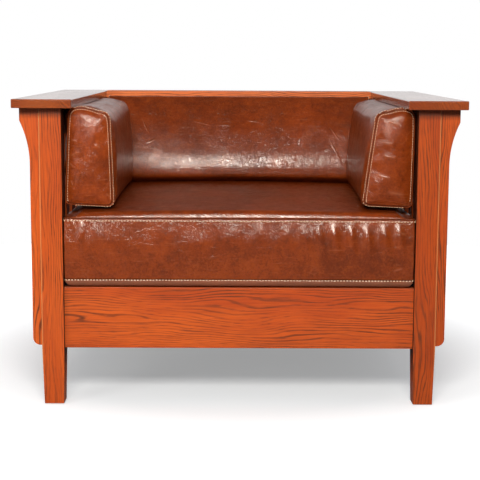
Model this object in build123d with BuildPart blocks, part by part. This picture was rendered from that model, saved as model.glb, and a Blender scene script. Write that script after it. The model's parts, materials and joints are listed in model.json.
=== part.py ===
from build123d import *
import os
from math import sqrt

os.makedirs("parts", exist_ok=True)

# A mission armchair: a doweled and tenoned oak frame, zig-zag seat springs and four loose
# leather cushions. Millimetres, +X to the right seen from the front, +Y to the back, +Z up.
# The origin is on the floor, under the middle of the chair.

# Overall size
overall_width = 1067.0
overall_depth = 914.0
overall_height = 737.0

# Arm boards and back cap
board_thickness = 21.0
arm_width = 140.0
cap_width = 95.0
board_edge_round = 2.0

# Posts and their feet, the inset from an arm board's outer edge to a post's outer face
post_inset = 59.0
post_size = 54.0
post_setback = 25.0
post_edge_round = 2.0
foot_taper = 3.5
glide_diameter = 22.0
glide_thickness = 1.5
glide_nail_diameter = 2.5
glide_nail_length = 16.0

# Rails
rail_thickness = 22.0
rail_setback = 12.0
lower_rail_bottom = 138.0
lower_rail_height = 149.0
upper_rail_height = 70.0
rail_edge_round = 1.5
tenon_length = 20.0
tenon_thickness = 10.0
tenon_shoulder = 12.0

# Slats
slat_width = 54.0
slat_thickness = 12.0
slat_tenon = 12.0
slat_edge_round = 1.0
side_slat_count = 6
back_slat_count = 7

# Corbels
corbel_width = 22.0
corbel_thickness = 42.0
corbel_bottom = 146.0
corbel_foot_round = 18.0
corbel_block_height = 30.0
corbel_curve_height = 103.0
corbel_curve_radius = 240.0

# Cleats and corner blocks
cleat_height = 25.0
cleat_thickness = 20.0
cleat_end_gap = 1.0
cleat_screw_shares = (-0.4, 0, 0.4)
corner_block_leg = 100.0
corner_block_height = 60.0
corner_block_lift = 32.0

# Dowel pins
dowel_diameter = 10.0
dowel_length = 40.0
dowel_in_board = 14.0
dowel_chamfer = 1.0
post_dowel_offset = 8.0
rail_dowel_share = 0.35
cap_dowel_share = 0.3
cap_end_dowel_shares = (-0.25, 0.25)
corbel_dowel_shares = (0.36, 0.72)

# Wood screws
screw_length = 32.0
screw_diameter = 4.0
screw_head_diameter = 8.0
screw_head_height = 2.7
screw_point = 5.0

# Seat springs and clips
spring_count = 6
spring_edge_gap = 95.5
spring_wire = 4.0
spring_loop_width = 50.0
spring_turns = 30
clip_width = 16.0
clip_thickness = 1.2
clip_tab = 13.0
clip_prong_length = 8.0
clip_prong_width = 6.0
clip_prong_inset = 2.0
clip_edge_gap = 6.0

# Deck pad and dust cover
deck_thickness = 3.0
deck_side_gap = 0.5
dust_cover_thickness = 0.8

# Cushions: leather covers round foam cores
cover_thickness = 2.0
seat_cushion_height = 196.6
seat_cushion_setback = 2.0
seat_cushion_back_gap = 4.0
seat_cushion_crown = 10.0
seat_cushion_cross_crown = 8.0
seat_cushion_draw_in = 4.0
seat_cushion_end_round = 16.0
seat_cushion_top_round = 24.0
seat_cushion_bottom_round = 18.0
arm_cushion_bottom_width = 120.0
arm_cushion_top_width = 94.0
arm_cushion_side_gap = 3.5
arm_cushion_lean = 8.0
arm_cushion_setback = 32.0
arm_cushion_crown = 8.0
arm_cushion_bulge = 5.0
arm_cushion_draw_in = 4.0
arm_cushion_end_round = 12.0
arm_cushion_bottom_round = 12.0
arm_cushion_top_round = 20.0
back_cushion_base_depth = 127.0
back_cushion_belly_depth = 157.0
back_cushion_belly_share = 0.258
back_cushion_top_depth = 34.0
back_cushion_rise = 6.0
back_cushion_top_slope = 4.0
back_cushion_side_gap = 3.5
back_cushion_crown = 8.0
back_cushion_end_round = 12.0
back_cushion_bulge = 7.0
back_cushion_roll_bulge = 5.0
back_cushion_base_round_share = 0.083
back_cushion_belly_round_share = 0.187
back_cushion_top_round = 8.0
back_cushion_rear_round = 4.0

# Clearances
joint_gap = 0.15
blind_gap = 0.5
wire_gap = 0.1
soft_gap = 0.4

# How a cushion's rounded ends and its middle are divided, as shares
round_shares = (0, 0.4, 0.7, 0.9, 1)
middle_shares = (0.35, 0.7)

# Places worked out from the sizes
frame_top = overall_height - board_thickness
post_outer_x = overall_width / 2 - post_inset
post_x = post_outer_x - post_size / 2
post_inner_x = post_outer_x - post_size
seat_opening = 2 * post_inner_x
post_outer_y = overall_depth / 2 - post_setback
post_y = post_outer_y - post_size / 2
post_inner_y = post_outer_y - post_size
arm_inner_x = overall_width / 2 - arm_width
cap_front_y = overall_depth / 2 - cap_width
lower_rail_top = lower_rail_bottom + lower_rail_height
upper_rail_bottom = frame_top - upper_rail_height
end_rail_outer_y = post_outer_y - rail_setback
end_rail_inner_y = end_rail_outer_y - rail_thickness
end_rail_y = (end_rail_outer_y + end_rail_inner_y) / 2
side_rail_inner_x = post_x - rail_thickness / 2
corbel_flare = corbel_curve_radius - sqrt(corbel_curve_radius**2 - corbel_curve_height**2)
clip_bore = spring_wire / 2 + wire_gap
clip_height = 2 * (clip_bore + clip_thickness)
deck_top = lower_rail_top - soft_gap
deck_bottom = deck_top - deck_thickness
cleat_top = deck_bottom - soft_gap - clip_height
cleat_bottom = cleat_top - cleat_height
cleat_screw_z = cleat_top - cleat_height / 2
end_cleat_length = seat_opening - 2 * cleat_end_gap
side_cleat_length = 2 * (post_inner_y - cleat_end_gap)
corner_block_bottom = lower_rail_bottom + corner_block_lift
corner_block_z = corner_block_bottom + corner_block_height / 2
spring_end_y = end_rail_inner_y - cleat_thickness + clip_edge_gap
spring_z = cleat_top + clip_thickness + clip_bore


def block(across, along, up, mode=Mode.ADD):
    """A plain block between two X, two Y and two Z places, in the piece being made."""
    spans = [sorted(span) for span in (across, along, up)]
    with Locations(tuple((low + high) / 2 for low, high in spans)):
        Box(*(high - low for low, high in spans), mode=mode)


def save(piece, name):
    """Labels a finished piece and writes it."""
    piece.part.label = name
    export_step(piece.part, f"parts/{name}.step")


def save_pair(right_piece, place, name):
    """Writes a right-hand piece and its mirror image on the left."""
    save(right_piece, f"{place}right_{name}")
    with BuildPart() as left_piece:
        mirror(right_piece.part, about=Plane.YZ)
    save(left_piece, f"{place}left_{name}")


# Dowel pins, and where each one lies
def dowel(extra_radius=0, extra_length=0):
    """One pin about the origin, along Z, or the larger shape that bores its hole."""
    with BuildPart() as pin:
        Cylinder(dowel_diameter / 2 + extra_radius, dowel_length + extra_length)
        if extra_radius == 0:
            chamfer(pin.edges().filter_by(GeomType.CIRCLE), length=dowel_chamfer)
    return pin


board_dowel_z = frame_top + dowel_in_board - dowel_length / 2
post_dowels = [
    Location((post_x + post_dowel_offset, end * (post_y + post_dowel_offset), board_dowel_z))
    for end in (-1, 1)
]
side_rail_dowels = [
    Location((post_x, share * post_inner_y, board_dowel_z))
    for share in (-rail_dowel_share, rail_dowel_share)
]
cap_rail_dowels = [
    Location((share * seat_opening, end_rail_y, board_dowel_z))
    for share in (-cap_dowel_share, 0, cap_dowel_share)
]
cap_end_dowels = [
    Location(
        (arm_inner_x, cap_front_y + cap_width / 2 + share * cap_width, frame_top + board_thickness / 2),
        (0, 90, 0),
    )
    for share in cap_end_dowel_shares
]
corbel_dowel_x = post_outer_x + dowel_in_board - dowel_length / 2
corbel_dowels = {
    end: [
        Location((corbel_dowel_x, end * post_y, share * frame_top), (0, 90, 0))
        for share in corbel_dowel_shares
    ]
    for end in (-1, 1)
}


def bore(places):
    """Bores the dowel holes at the given places in the piece being made."""
    hole = dowel(joint_gap, 2 * blind_gap)
    with Locations(*places):
        add(hole.part, mode=Mode.SUBTRACT)


# Wood screws, and where each one lies
def screw(gap=0):
    """One countersunk screw pointing down from the origin, or the larger shape of its hole."""
    head = screw_head_diameter / 2 + gap
    shank = screw_diameter / 2 + gap
    with BuildPart() as one:
        with BuildSketch(Plane.XZ):
            with BuildLine():
                Polyline(
                    (0, 0),
                    (head, 0),
                    (shank, -screw_head_height),
                    (shank, screw_point - screw_length),
                    (0, -screw_length - gap),
                    close=True,
                )
            make_face()
        revolve(axis=Axis.Z)
        if gap > 0:
            with Locations((0, 0, corner_block_leg / 2)):
                Cylinder(head, corner_block_leg)
    return one


def end_cleat_screws(end):
    """Screws through the front (-1) or rear (1) cleat into its rail."""
    face = end * (end_rail_inner_y - cleat_thickness)
    return [
        Location((share * end_cleat_length, face, cleat_screw_z), (end * 90, 0, 0))
        for share in cleat_screw_shares
    ]


def side_cleat_screws(side):
    """Screws through the left (-1) or right (1) cleat into its rail."""
    face = side * (side_rail_inner_x - cleat_thickness)
    return [
        Location((face, share * side_cleat_length, cleat_screw_z), (0, -side * 90, 0))
        for share in cleat_screw_shares
    ]


def block_screws(side, end):
    """The two screws of a corner block, into the end rail and into the side rail."""
    along = side_rail_inner_x - corner_block_leg + cleat_thickness
    back = end_rail_inner_y - corner_block_leg + cleat_thickness
    into_end = Location(
        (side * along, end * (end_rail_inner_y - cleat_thickness), corner_block_z), (end * 90, 0, 0)
    )
    into_side = Location(
        (side * (side_rail_inner_x - cleat_thickness), end * back, corner_block_z), (0, -side * 90, 0)
    )
    return [into_end, into_side]


def drill(places):
    """Drills and countersinks the screw holes at the given places in the piece being made."""
    hole = screw(joint_gap)
    with Locations(*places):
        add(hole.part, mode=Mode.SUBTRACT)


# Posts
def mortise_heights():
    """Lower and upper rails' tenon heights, each as a pair."""
    lower = (lower_rail_bottom + tenon_shoulder, lower_rail_top - tenon_shoulder)
    upper = (upper_rail_bottom + tenon_shoulder, frame_top - tenon_shoulder)
    return lower, upper


def post(end):
    """The right-hand post at the front (-1) or rear (1)."""
    lower, upper = mortise_heights()
    slot = tenon_thickness / 2 + joint_gap
    depth = tenon_length + blind_gap
    foot = post_size - 2 * foot_taper
    with BuildPart() as leg:
        with BuildSketch(Plane.XY.offset(lower_rail_bottom)) as section:
            with Locations((post_x, end * post_y)):
                RectangleRounded(post_size, post_size, post_edge_round)
        extrude(amount=frame_top - lower_rail_bottom)
        with BuildSketch(Plane.XY.offset(glide_thickness)):
            with Locations((post_x, end * post_y)):
                RectangleRounded(foot, foot, post_edge_round)
        add(section.sketch)
        loft()
        end_slot = (end * end_rail_y - slot, end * end_rail_y + slot)
        side_slot = (post_x - slot, post_x + slot)
        inward = (post_inner_x, post_inner_x + depth)
        endward = (end * post_inner_y, end * (post_inner_y + depth))
        for low, high in (lower, upper):
            tall = (low - joint_gap, high + joint_gap)
            block(side_slot, endward, tall, mode=Mode.SUBTRACT)
            if end > 0 or high < upper_rail_bottom:
                block(inward, end_slot, tall, mode=Mode.SUBTRACT)
        bore(post_dowels + corbel_dowels[end])
        nail_hole = glide_nail_length + blind_gap
        with Locations((post_x, end * post_y, glide_thickness + nail_hole / 2)):
            Cylinder(glide_nail_diameter / 2 + joint_gap, nail_hole, mode=Mode.SUBTRACT)
    return leg


# Rails, with a tenon at each end and mortises for the slats
def rail(half_length, thickness, bottom, top):
    """A rail along X about the origin in plan, with its tenons."""
    with BuildPart() as bar:
        block((-half_length, half_length), (-thickness / 2, thickness / 2), (bottom, top))
        fillet(bar.edges().filter_by(Axis.X), radius=rail_edge_round)
        reach = half_length + tenon_length
        block(
            (-reach, reach),
            (-tenon_thickness / 2, tenon_thickness / 2),
            (bottom + tenon_shoulder, top - tenon_shoulder),
        )
    return bar


def slat_places(span, count):
    """Middles of evenly spaced slats across an opening that is span wide."""
    gap = (span - count * slat_width) / (count + 1)
    return [-span / 2 + gap + slat_width / 2 + index * (slat_width + gap) for index in range(count)]


side_slat_places = slat_places(2 * post_inner_y, side_slat_count)
back_slat_places = slat_places(seat_opening, back_slat_count)


def slat_mortises(places, heights):
    """Cuts the slats' mortises in a rail along X about the origin in plan."""
    half = slat_width / 2 + joint_gap
    deep = slat_thickness / 2 + joint_gap
    for place in places:
        block((place - half, place + half), (-deep, deep), heights, mode=Mode.SUBTRACT)


def end_rail(end, bottom, top, slat_heights, dowels):
    """The front (-1) or a rear (1) rail, in place."""
    plain = rail(seat_opening / 2, rail_thickness, bottom, top)
    with BuildPart() as bar:
        add(plain.part)
        if slat_heights:
            slat_mortises(back_slat_places, slat_heights)
    with BuildPart() as placed:
        with Locations((0, end * end_rail_y, 0)):
            add(bar.part)
        drill(end_cleat_screws(end) + block_screws(-1, end) + block_screws(1, end))
        if dowels:
            bore(dowels)
    return placed


def side_rail(bottom, top, slat_heights, dowels):
    """A right-hand rail, in place."""
    plain = rail(post_inner_y, rail_thickness, bottom, top)
    with BuildPart() as bar:
        add(plain.part)
        slat_mortises(side_slat_places, slat_heights)
    with BuildPart() as placed:
        with Locations(Location((post_x, 0, 0), (0, 0, 90))):
            add(bar.part)
        drill(side_cleat_screws(1) + block_screws(1, -1) + block_screws(1, 1))
        if dowels:
            bore(dowels)
    return placed


lower_slat_heights = (lower_rail_top - slat_tenon - blind_gap, lower_rail_top)
upper_slat_heights = (upper_rail_bottom, upper_rail_bottom + slat_tenon + blind_gap)


# Slats
def slat():
    """One upright slat about the Z axis, its wide faces towards -Y and +Y."""
    with BuildPart() as strip:
        block(
            (-slat_width / 2, slat_width / 2),
            (-slat_thickness / 2, slat_thickness / 2),
            (lower_rail_top - slat_tenon, upper_rail_bottom + slat_tenon),
        )
        fillet(strip.edges().filter_by(Axis.Z), radius=slat_edge_round)
    return strip


def placed_slat(place):
    """A slat moved to its place."""
    plain = slat()
    with BuildPart() as strip:
        with Locations(place):
            add(plain.part)
    return strip


# Corbels
def corbel(end):
    """The right-hand corbel at the front (-1) or rear (1), against the outside of its post."""
    straight = post_outer_x + corbel_width
    flared = straight + corbel_flare
    block_bottom = frame_top - corbel_block_height
    curve_start = block_bottom - corbel_curve_height
    half = corbel_curve_height / 2
    middle = straight + corbel_curve_radius - sqrt(corbel_curve_radius**2 - half**2)
    with BuildPart() as bracket:
        with BuildSketch(Plane.XZ.offset(-end * post_y)) as outline:
            with BuildLine():
                Line((post_outer_x, corbel_bottom), (straight, corbel_bottom))
                Line((straight, corbel_bottom), (straight, curve_start))
                ThreePointArc((straight, curve_start), (middle, curve_start + half), (flared, block_bottom))
                Line((flared, block_bottom), (flared, frame_top))
                Line((flared, frame_top), (post_outer_x, frame_top))
                Line((post_outer_x, frame_top), (post_outer_x, corbel_bottom))
            make_face()
            corner = outline.vertices().sort_by_distance(Vector(straight, corbel_bottom))[0]
            fillet(corner, radius=min(corbel_foot_round, corbel_width - rail_edge_round))
        extrude(amount=corbel_thickness / 2, both=True)
        bore(corbel_dowels[end])
    return bracket


# Arm boards and back cap
def arm_board():
    """The right-hand arm board."""
    with BuildPart() as board:
        block(
            (arm_inner_x, overall_width / 2),
            (-overall_depth / 2, overall_depth / 2),
            (frame_top, overall_height),
        )
        fillet(board.edges(), radius=board_edge_round)
        bore(post_dowels + side_rail_dowels + cap_end_dowels)
    return board


def back_cap():
    """The cap board between the arm boards."""
    with BuildPart() as board:
        block((-arm_inner_x, arm_inner_x), (cap_front_y, overall_depth / 2), (frame_top, overall_height))
        fillet(board.edges().filter_by(Axis.X), radius=board_edge_round)
        bore(cap_rail_dowels + cap_end_dowels)
        left_ends = [Location((-arm_inner_x, place.position.Y, place.position.Z), (0, 90, 0))
                     for place in cap_end_dowels]
        bore(left_ends)
    return board


# Cleats and corner blocks
def end_cleat(end):
    """The front (-1) or rear (1) cleat, with slots for the spring clips' prongs."""
    outer = end * end_rail_inner_y
    inner = end * (end_rail_inner_y - cleat_thickness)
    with BuildPart() as cleat:
        block((-end_cleat_length / 2, end_cleat_length / 2), (inner, outer), (cleat_bottom, cleat_top))
        drill(end_cleat_screws(end))
        prong = prong_span(joint_gap)
        deep = (cleat_top - clip_prong_length - blind_gap, cleat_top)
        half = clip_prong_width / 2 + joint_gap
        for place in spring_places:
            across = (place - half, place + half)
            block(across, (end * prong[0], end * prong[1]), deep, mode=Mode.SUBTRACT)
    return cleat


def side_cleat():
    """The right-hand cleat."""
    across = (side_rail_inner_x - cleat_thickness, side_rail_inner_x)
    along = (-side_cleat_length / 2, side_cleat_length / 2)
    with BuildPart() as cleat:
        block(across, along, (cleat_bottom, cleat_top))
        drill(side_cleat_screws(1))
    return cleat


def corner_block(end):
    """The right-hand corner block at the front (-1) or rear (1), notched round its post."""
    near_x = side_rail_inner_x - corner_block_leg
    near_y = end * (end_rail_inner_y - corner_block_leg)
    with BuildPart() as brace:
        with BuildSketch(Plane.XY.offset(corner_block_bottom)):
            with BuildLine():
                Polyline(
                    (near_x, end * end_rail_inner_y),
                    (post_inner_x, end * end_rail_inner_y),
                    (post_inner_x, end * post_inner_y),
                    (side_rail_inner_x, end * post_inner_y),
                    (side_rail_inner_x, near_y),
                    close=True,
                )
            make_face()
        extrude(amount=corner_block_height)
        drill(block_screws(1, end))
    return brace


# Seat springs and their clips
spring_reach = post_inner_x - spring_edge_gap
spring_places = [
    spring_reach * (2 * index / (spring_count - 1) - 1) for index in range(spring_count)
]


def prong_span(gap=0):
    """Near and far Y of a clip's prong on the rear side."""
    far = spring_end_y + clip_tab - clip_prong_inset
    return far - clip_thickness - gap, far + gap


def seat_spring():
    """One zig-zag spring along Y, bent from one wire: bars across it joined by half turns."""
    turn_radius = spring_end_y / spring_turns
    bar = spring_loop_width / 2 - turn_radius
    with BuildPart() as spring:
        with BuildLine(Plane.XY.offset(spring_z)) as route:
            for turn in range(spring_turns + 1):
                way = 1 if turn % 2 == 0 else -1
                here = -spring_end_y + 2 * turn * turn_radius
                Line((-way * bar, here), (way * bar, here))
                if turn < spring_turns:
                    ThreePointArc(
                        (way * bar, here),
                        (way * (bar + turn_radius), here + turn_radius),
                        (way * bar, here + 2 * turn_radius),
                    )
        with BuildSketch(Plane(origin=(-bar, -spring_end_y, spring_z), z_dir=(1, 0, 0))):
            Circle(spring_wire / 2)
        sweep(path=route.wire())
    return spring


def spring_clip():
    """One rear clip about X = 0: a nailed-down tab, its prong and the curl round the wire."""
    outer = clip_bore + clip_thickness
    tab = (spring_end_y, spring_end_y + clip_tab)
    with BuildPart() as clip:
        with BuildSketch(Plane.YZ):
            with Locations((spring_end_y, spring_z)):
                Circle(outer)
        extrude(amount=clip_width / 2, both=True)
        block((-clip_width / 2, clip_width / 2), tab, (cleat_top, cleat_top + clip_thickness))
        block(
            (-clip_prong_width / 2, clip_prong_width / 2),
            prong_span(),
            (cleat_top - clip_prong_length, cleat_top),
        )
        with BuildSketch(Plane.YZ):
            with Locations((spring_end_y, spring_z)):
                Circle(clip_bore)
        extrude(amount=clip_width, both=True, mode=Mode.SUBTRACT)
    return clip


# Deck pad and dust cover
def sheet_with_notches(half_x, half_y, notch_x, notch_y, low, high):
    """A flat sheet with its four corners cut away for the posts."""
    with BuildPart() as sheet:
        block((-half_x, half_x), (-half_y, half_y), (low, high))
        for side in (-1, 1):
            for end in (-1, 1):
                across = (side * notch_x, side * half_x)
                along = (end * notch_y, end * half_y)
                block(across, along, (low, high), mode=Mode.SUBTRACT)
    return sheet


# Floor glides
def floor_glide():
    """One glide about the Z axis: a disc to stand on, and its nail."""
    with BuildPart() as glide:
        with Locations((0, 0, glide_thickness / 2)):
            Cylinder(glide_diameter / 2, glide_thickness)
        with Locations((0, 0, glide_thickness + glide_nail_length / 2)):
            Cylinder(glide_nail_diameter / 2, glide_nail_length)
    return glide


# Cushions
def side_line(start, end, bulge):
    """One side of a cushion's outline: straight, or an arc that stands out by bulge."""
    if bulge == 0:
        Line(start, end)
        return
    chord = Vector(*end) - Vector(*start)
    middle = (Vector(*start) + Vector(*end)) / 2 + Vector(chord.Y, -chord.X).normalized() * bulge
    ThreePointArc(start, middle, end)


def soft_loft(sections):
    """A cushion through outlines: each a plane, its corners, its sides' bulges, its rounds."""
    with BuildPart() as pad:
        for plane, corners, bulges, rounds in sections:
            with BuildSketch(plane) as outline:
                with BuildLine():
                    for index, corner in enumerate(corners):
                        side_line(corner, corners[(index + 1) % len(corners)], bulges[index])
                make_face()
                for corner, radius in zip(corners, rounds):
                    fillet(outline.vertices().sort_by_distance(Vector(*corner))[0], radius=radius)
        loft(ruled=True)
    return pad


def stations(half_length, end_round):
    """Places along a cushion from end to end, each with the draw-in of its rounded end."""
    straight = half_length - end_round
    half = [(straight * share, 0) for share in middle_shares]
    for share in round_shares:
        half.append((straight + end_round * share, end_round * (1 - sqrt(1 - share**2))))
    other = [(-place, inset) for place, inset in reversed(half)]
    return other + [(0, 0)] + half


def section_across_x(x):
    """The plane at X = x whose own axes are Y and Z."""
    return Plane(origin=(x, 0, 0), x_dir=(0, 1, 0), z_dir=(1, 0, 0))


def section_across_y(y):
    """The plane at Y = y whose own axes are X and Z."""
    return Plane(origin=(0, y, 0), x_dir=(1, 0, 0), z_dir=(0, -1, 0))


seat_cushion_half = seat_opening / 2 - soft_gap
seat_cushion_bottom = lower_rail_top + soft_gap
seat_cushion_front = -post_outer_y + seat_cushion_setback
seat_cushion_back = end_rail_inner_y - seat_cushion_back_gap
seat_crown_z = seat_cushion_bottom + seat_cushion_height
seat_cushion_middle_y = (seat_cushion_front + seat_cushion_back) / 2
back_cushion_rear = cap_front_y - soft_gap
back_cushion_belly_y = back_cushion_rear - back_cushion_belly_depth


def seat_crown_at(x, y):
    """Height of the seat cushion's crowned top at a place."""
    half_depth = (seat_cushion_back - seat_cushion_front) / 2
    across = seat_cushion_cross_crown * (x / seat_cushion_half) ** 2
    along = seat_cushion_crown * ((y - seat_cushion_middle_y) / half_depth) ** 2
    return seat_crown_z - across - along


def seat_cushion(skin):
    """The seat cushion's outer form, or what lies a skin's thickness inside it."""
    low, high = seat_cushion_bottom_round, seat_cushion_top_round
    rounds = (low, low, high, high)
    sections = []
    for x, end_inset in stations(seat_cushion_half - skin, seat_cushion_end_round):
        inset = end_inset + skin
        front = seat_cushion_front + seat_cushion_draw_in * (1 - (x / seat_cushion_half) ** 2) + inset
        back = seat_cushion_back - inset
        top = seat_crown_at(x, seat_cushion_middle_y) - seat_cushion_crown - inset
        bottom = seat_cushion_bottom + inset
        corners = [(front, bottom), (back, bottom), (back, top), (front, top)]
        bulges = (0, 0, seat_cushion_crown, 0)
        sections.append((section_across_x(x), corners, bulges, rounds))
    return soft_loft(sections)


arm_cushion_outer = post_inner_x - arm_cushion_side_gap
arm_cushion_inner = arm_cushion_outer - arm_cushion_bottom_width
arm_cushion_foot_x = arm_cushion_inner + arm_cushion_bottom_round
arm_cushion_bottom = seat_crown_at(arm_cushion_foot_x, seat_cushion_middle_y) + soft_gap
arm_cushion_top = frame_top - soft_gap - arm_cushion_crown
arm_cushion_front = -post_outer_y + arm_cushion_setback
arm_cushion_back = back_cushion_belly_y - back_cushion_crown - soft_gap
arm_cushion_middle_y = (arm_cushion_front + arm_cushion_back) / 2


def arm_cushion(skin):
    """The right-hand arm cushion's outer form, or what lies a skin's thickness inside it."""
    half_length = (arm_cushion_back - arm_cushion_front) / 2
    low, high = arm_cushion_bottom_round, arm_cushion_top_round
    rounds = (low, low, high, high)
    sections = []
    for place, end_inset in reversed(stations(half_length - skin, arm_cushion_end_round)):
        inset = end_inset + skin
        drawn = inset + arm_cushion_draw_in * (1 - (place / half_length) ** 2)
        top_outer = arm_cushion_outer - arm_cushion_lean
        bottom = arm_cushion_bottom + inset
        top = arm_cushion_top - inset
        corners = [
            (arm_cushion_inner + drawn, bottom),
            (arm_cushion_outer - drawn, bottom),
            (top_outer - drawn, top),
            (top_outer - arm_cushion_top_width + drawn, top),
        ]
        bulges = (0, 0, arm_cushion_crown, arm_cushion_bulge)
        plane = section_across_y(arm_cushion_middle_y + place)
        sections.append((plane, corners, bulges, rounds))
    return soft_loft(sections)


back_cushion_half = arm_inner_x - back_cushion_side_gap
back_cushion_bottom = seat_crown_at(0, back_cushion_belly_y) + soft_gap
back_cushion_top = frame_top + back_cushion_rise


def back_cushion(skin):
    """The back cushion's outer form, or what lies a skin's thickness inside it."""
    sections = []
    for x, end_inset in stations(back_cushion_half - skin, back_cushion_end_round):
        inset = end_inset + skin
        front = inset - back_cushion_crown * (1 - (x / back_cushion_half) ** 2)
        rear = back_cushion_rear - skin
        bottom = back_cushion_bottom + inset
        top = back_cushion_top - inset
        height = top - bottom
        corners = [
            (rear, bottom),
            (rear, top),
            (back_cushion_rear - back_cushion_top_depth + inset, top - back_cushion_top_slope),
            (back_cushion_belly_y + front, bottom + back_cushion_belly_share * height),
            (back_cushion_rear - back_cushion_base_depth + front, bottom),
        ]
        bulges = (0, 0, back_cushion_bulge, back_cushion_roll_bulge, 0)
        rounds = (
            back_cushion_rear_round,
            back_cushion_rear_round,
            back_cushion_top_round,
            back_cushion_belly_round_share * height,
            back_cushion_base_round_share * height,
        )
        sections.append((section_across_x(x), corners, bulges, rounds))
    return soft_loft(sections)


def covered(form):
    """A cushion's leather cover, hollow inside, and the foam core that fills it."""
    outer = form(0)
    hollow = form(cover_thickness)
    core = form(cover_thickness + soft_gap)
    with BuildPart() as cover:
        add(outer.part)
        add(hollow.part, mode=Mode.SUBTRACT)
    return cover, core


# The frame
save_pair(post(-1), "front_", "post")
save_pair(post(1), "rear_", "post")
save_pair(corbel(-1), "front_", "corbel")
save_pair(corbel(1), "rear_", "corbel")
save_pair(arm_board(), "", "arm_board")
save(back_cap(), "back_cap")
save(end_rail(-1, lower_rail_bottom, lower_rail_top, None, None), "front_rail")
save(end_rail(1, lower_rail_bottom, lower_rail_top, lower_slat_heights, None), "rear_lower_rail")
save(end_rail(1, upper_rail_bottom, frame_top, upper_slat_heights, cap_rail_dowels), "rear_upper_rail")
save_pair(side_rail(lower_rail_bottom, lower_rail_top, lower_slat_heights, None), "", "lower_rail")
save_pair(side_rail(upper_rail_bottom, frame_top, upper_slat_heights, side_rail_dowels), "", "upper_rail")
for number, place in enumerate(side_slat_places, start=1):
    save_pair(placed_slat(Location((post_x, place, 0), (0, 0, 90))), "", f"slat_{number}")
for number, place in enumerate(back_slat_places, start=1):
    save(placed_slat(Location((place, end_rail_y, 0))), f"back_slat_{number}")

# What holds the seat
save(end_cleat(-1), "front_cleat")
save(end_cleat(1), "rear_cleat")
save_pair(side_cleat(), "", "cleat")
save_pair(corner_block(-1), "front_", "corner_block")
save_pair(corner_block(1), "rear_", "corner_block")

one_spring = seat_spring()
with BuildPart() as seat_springs:
    with Locations(*((place, 0, 0) for place in spring_places)):
        add(one_spring.part)
save(seat_springs, "seat_springs")

rear_clip = spring_clip()
with BuildPart() as spring_clips:
    with Locations(*(Location((place, 0, 0)) for place in spring_places)):
        add(rear_clip.part)
    mirror(about=Plane.XZ)
save(spring_clips, "spring_clips")

deck_pad = sheet_with_notches(
    side_rail_inner_x - deck_side_gap,
    end_rail_inner_y - deck_side_gap,
    post_inner_x - deck_side_gap,
    post_inner_y - deck_side_gap,
    deck_bottom,
    deck_top,
)
save(deck_pad, "deck_pad")
dust_cover = sheet_with_notches(
    post_x,
    end_rail_y,
    post_inner_x - deck_side_gap,
    post_inner_y - deck_side_gap,
    lower_rail_bottom - dust_cover_thickness,
    lower_rail_bottom,
)
save(dust_cover, "dust_cover")

# Pins, screws and glides, each kind as one group
one_dowel = dowel()
with BuildPart() as dowel_pins:
    right_pins = post_dowels + side_rail_dowels + cap_end_dowels + corbel_dowels[-1] + corbel_dowels[1]
    with Locations(*right_pins):
        add(one_dowel.part)
    mirror(about=Plane.YZ)
    with Locations(*cap_rail_dowels):
        add(one_dowel.part)
save(dowel_pins, "dowel_pins")

one_screw = screw()
with BuildPart() as wood_screws:
    screw_places = []
    for way in (-1, 1):
        screw_places += end_cleat_screws(way) + side_cleat_screws(way)
        screw_places += block_screws(way, -1) + block_screws(way, 1)
    with Locations(*screw_places):
        add(one_screw.part)
save(wood_screws, "wood_screws")

one_glide = floor_glide()
with BuildPart() as floor_glides:
    with GridLocations(2 * post_x, 2 * post_y, 2, 2):
        add(one_glide.part)
save(floor_glides, "floor_glides")

# The cushions
seat_cover, seat_core = covered(seat_cushion)
save(seat_cover, "seat_cushion")
save(seat_core, "seat_core")
arm_cover, arm_core = covered(arm_cushion)
save_pair(arm_cover, "", "arm_cushion")
save_pair(arm_core, "", "arm_core")
back_cover, back_core = covered(back_cushion)
save(back_cover, "back_cushion")
save(back_core, "back_core")
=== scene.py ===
# %% [markdown]
# # A mission armchair in oak and leather
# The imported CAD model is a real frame: posts, rails, slats, arm boards and all that is hidden under
# the seat. Its wooden and metal pieces keep their shapes and only get their finishes here.
# The four loose cushions are soft, so each one is made again as sewn leather over foam.

import json
from math import ceil, cos, exp, pi, radians, sin, sqrt

import bmesh
import bpy
from mathutils import Matrix, Vector
from mathutils.bvhtree import BVHTree
from mathutils.kdtree import KDTree


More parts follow.
